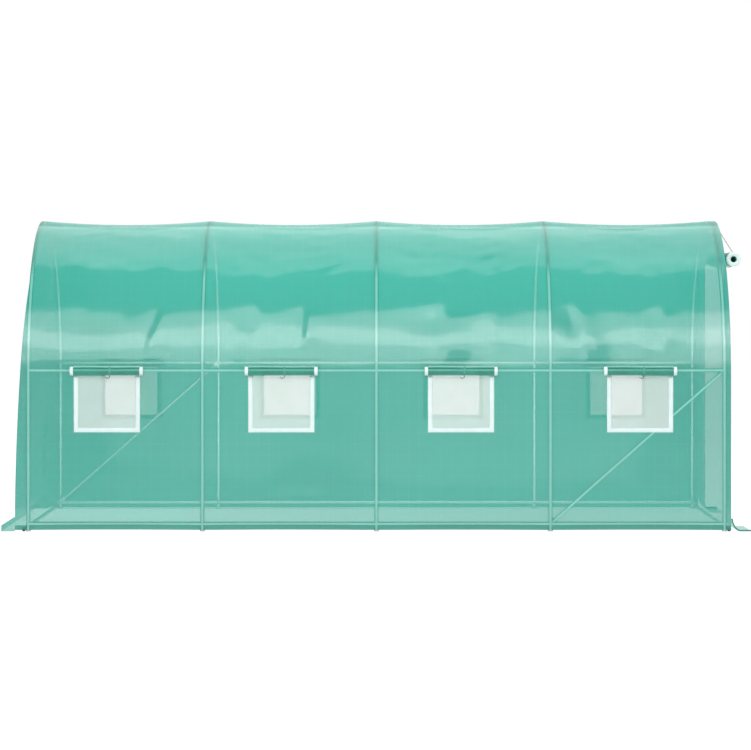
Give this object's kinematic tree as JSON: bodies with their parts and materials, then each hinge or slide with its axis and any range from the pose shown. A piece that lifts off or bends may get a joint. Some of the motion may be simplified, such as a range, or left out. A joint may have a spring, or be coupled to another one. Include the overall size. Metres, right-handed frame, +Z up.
{
  "type": "polytunnel greenhouse",
  "caption": "Walk-in polytunnel greenhouse: tube hoops, rails and braces under a green woven film cover with screened roll-up windows and a rolled-up end door.",
  "frame": {"origin": "on the ground, at the middle of the footprint", "axes": "+X along the tunnel towards the door end, +Y across it to the far side, +Z up"},
  "size_m": [4.825, 2.1062, 2.0148],
  "materials": {
    "tube_steel": "galvanised, satin",
    "cover_film": "translucent woven film",
    "rolled_film": "rolled woven film",
    "tape": "matt tape",
    "insect_screen": "fine white mesh",
    "tie_strap": "woven strap",
    "tie_cord": "braided cord",
    "cap_plastic": "matt",
    "plug_plastic": "matt"
  },
  "bodies": {
    "root": {"arch_1": "tube_steel", "arch_2": "tube_steel", "arch_3": "tube_steel", "arch_4": "tube_steel", "arch_5": "tube_steel", "near_posts": "tube_steel", "far_posts": "tube_steel", "foot_caps": "cap_plastic", "ridge_purlin": "tube_steel", "near_mid_rail": "tube_steel", "far_mid_rail": "tube_steel", "near_bottom_rail": "tube_steel", "far_bottom_rail": "tube_steel", "end_base_rails": "tube_steel", "base_rail_plugs": "plug_plastic", "near_brace": "tube_steel", "far_brace": "tube_steel", "roof_bay_1": "cover_film", "roof_bay_2": "cover_film", "roof_bay_3": "cover_film", "roof_bay_4": "cover_film", "near_wall_bay_1": "cover_film", "near_wall_bay_2": "cover_film", "near_wall_bay_3": "cover_film", "near_wall_bay_4": "cover_film", "far_wall_bay_1": "cover_film", "far_wall_bay_2": "cover_film", "far_wall_bay_3": "cover_film", "far_wall_bay_4": "cover_film", "left_end_wall": "cover_film", "right_end_near_panel": "cover_film", "right_end_far_panel": "cover_film", "right_end_top_panel": "cover_film", "left_skirt": "cover_film", "right_skirts": "cover_film", "door_roll": "rolled_film", "door_ties": "tie_cord", "near_window_screens": "insect_screen", "far_window_screens": "insect_screen", "near_window_borders": "tape", "far_window_borders": "tape", "near_window_rolls": "rolled_film", "far_window_rolls": "rolled_film", "near_window_ties": "tie_strap", "far_window_ties": "tie_strap"}
  },
  "joints": []
}
